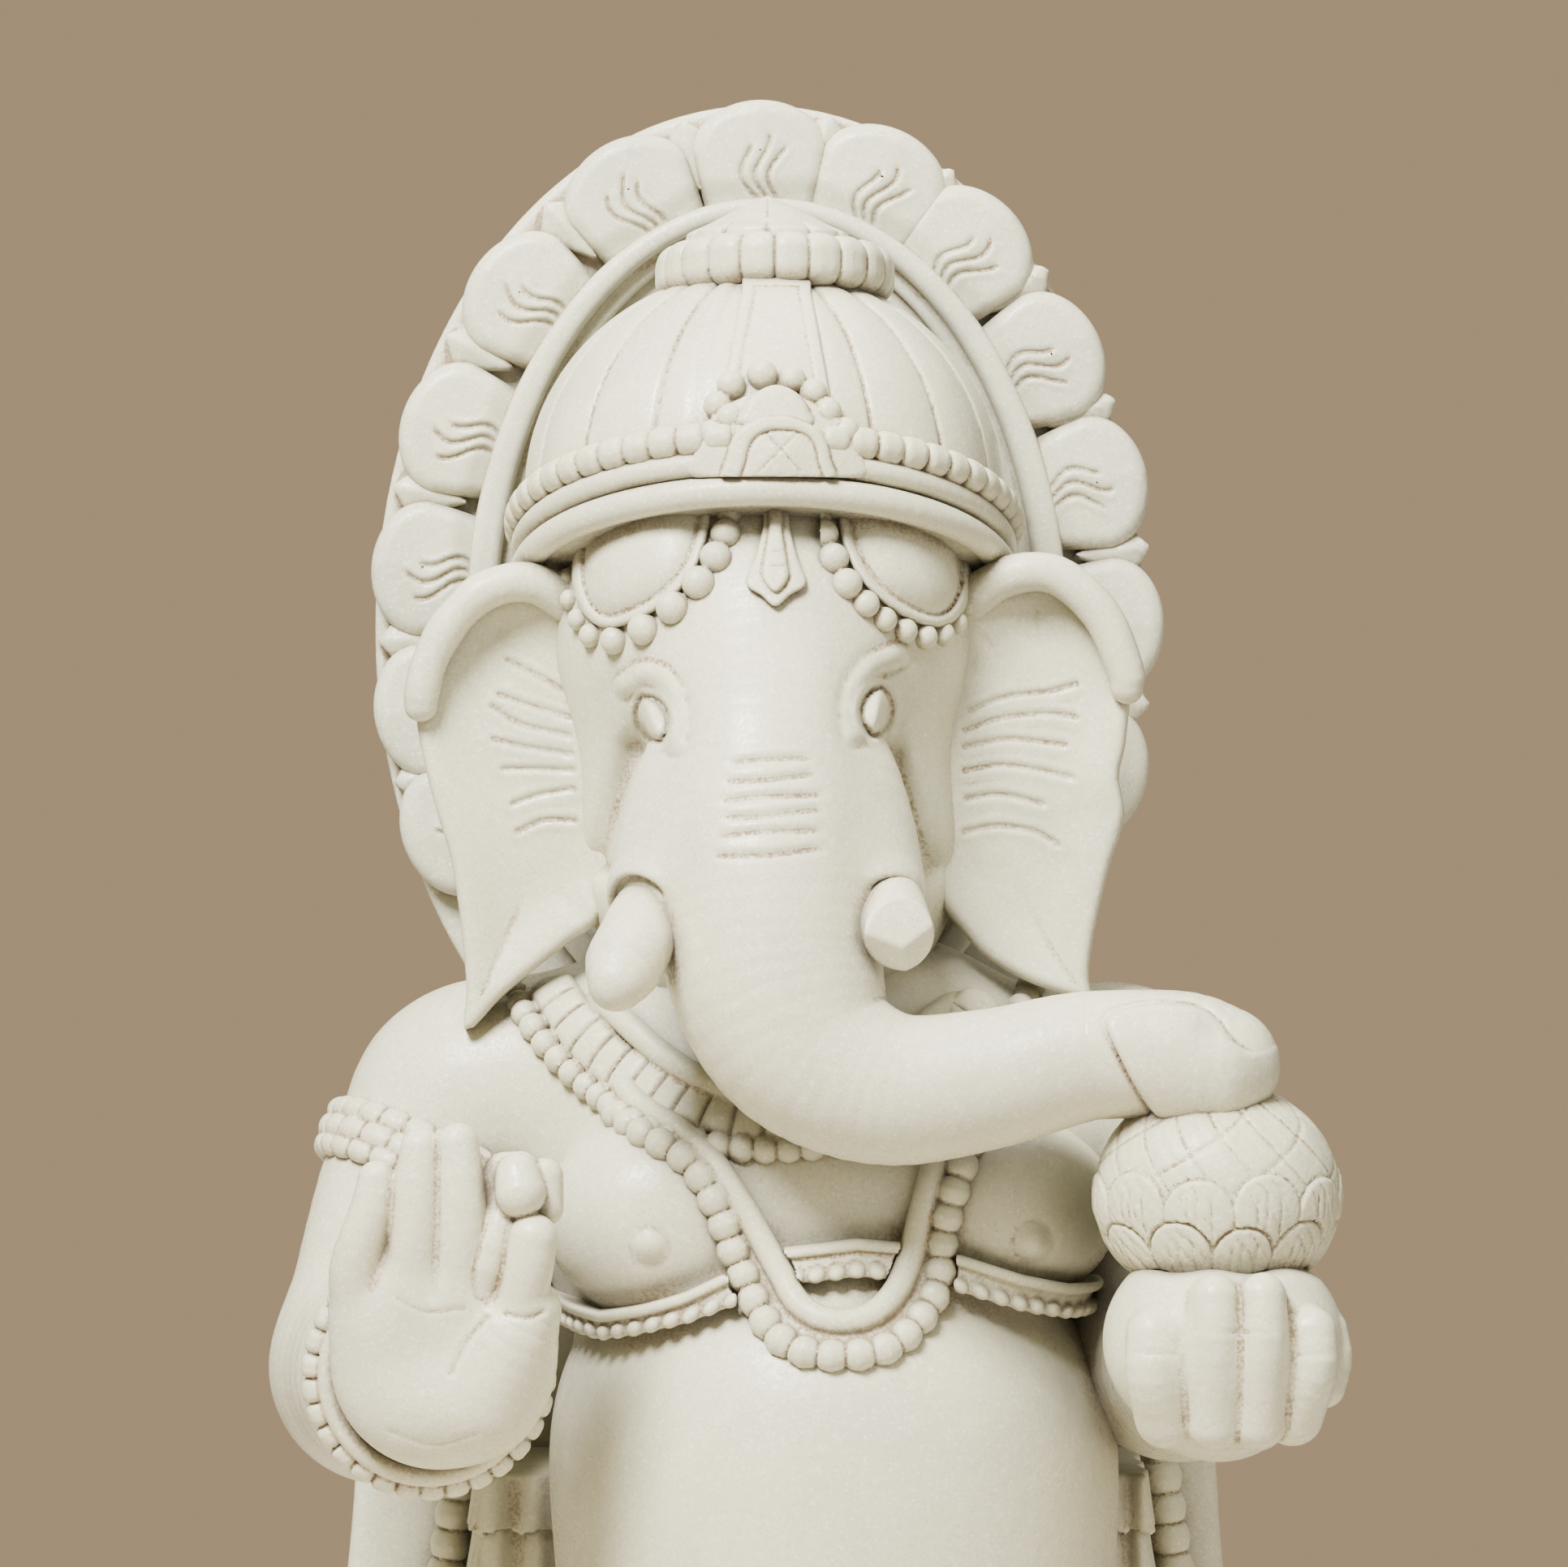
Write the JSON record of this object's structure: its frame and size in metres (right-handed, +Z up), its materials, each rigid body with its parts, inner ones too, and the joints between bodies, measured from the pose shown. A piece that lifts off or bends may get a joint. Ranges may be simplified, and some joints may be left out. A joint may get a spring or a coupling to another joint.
{
  "type": "ganesha idol",
  "caption": "Seated marble Ganesha with a lotus-petal halo, curved trunk resting on sweets held in the left hand, and right palm raised.",
  "frame": {"origin": "centre of the flat underside of the plinth", "axes": "+Z up, the figure faces -Y, +X towards the figure's own left side"},
  "size_m": [0.69, 0.48, 1.216],
  "materials": {
    "marble_smooth": "white marble, smoothed and softly polished, coarse crystal grain",
    "marble_carved": "white marble, carved ornament with brown dust in the crevices",
    "marble_slab": "white marble slab, grey clouding, soft polish",
    "marble_base": "white marble base, honed"
  },
  "bodies": {
    "root": {"plinth": "marble_base", "lotus_base": "marble_base", "halo_disc": "marble_slab", "halo_rim": "marble_slab", "back_slab": "marble_slab", "head": "marble_smooth", "crown_dome": "marble_smooth", "crown_ring": "marble_carved", "crown_finial": "marble_carved", "crown_strap": "marble_carved", "headband_lower_roll": "marble_carved", "headband_upper_roll": "marble_carved", "headband_beads": "marble_carved", "crown_medallion": "marble_carved", "right_brow_boss": "marble_smooth", "left_brow_boss": "marble_smooth", "right_brow_beads": "marble_carved", "left_brow_beads": "marble_carved", "sweet_heap": "marble_carved", "trunk_tip": "marble_smooth", "trunk": "marble_smooth", "brow_pendant": "marble_carved", "right_tusk": "marble_smooth", "left_tusk": "marble_smooth", "right_ear_fold": "marble_smooth", "left_ear_fold": "marble_smooth", "right_ear": "marble_smooth", "left_ear": "marble_smooth", "torso": "marble_smooth", "neck": "marble_smooth", "chest_band": "marble_carved", "collar_necklace": "marble_carved", "long_necklace": "marble_carved", "right_armlet": "marble_carved", "right_bangle": "marble_carved", "right_upper_arm": "marble_smooth", "right_forearm": "marble_smooth", "right_hand": "marble_smooth", "left_upper_arm": "marble_smooth", "left_forearm": "marble_smooth", "left_hand": "marble_smooth", "right_leg": "marble_smooth", "left_leg": "marble_smooth", "right_sash": "marble_carved", "left_sash": "marble_carved", "right_bead_strip": "marble_carved", "left_bead_strip": "marble_carved", "halo_petal_left_6": "marble_slab", "halo_petal_left_5": "marble_slab", "halo_petal_left_4": "marble_slab", "halo_petal_left_3": "marble_slab", "halo_petal_left_2": "marble_slab", "halo_petal_left_1": "marble_slab", "halo_petal_top": "marble_slab", "halo_petal_right_1": "marble_slab", "halo_petal_right_2": "marble_slab", "halo_petal_right_3": "marble_slab", "halo_petal_right_4": "marble_slab", "halo_petal_right_5": "marble_slab", "halo_petal_right_6": "marble_slab"}
  },
  "joints": []
}
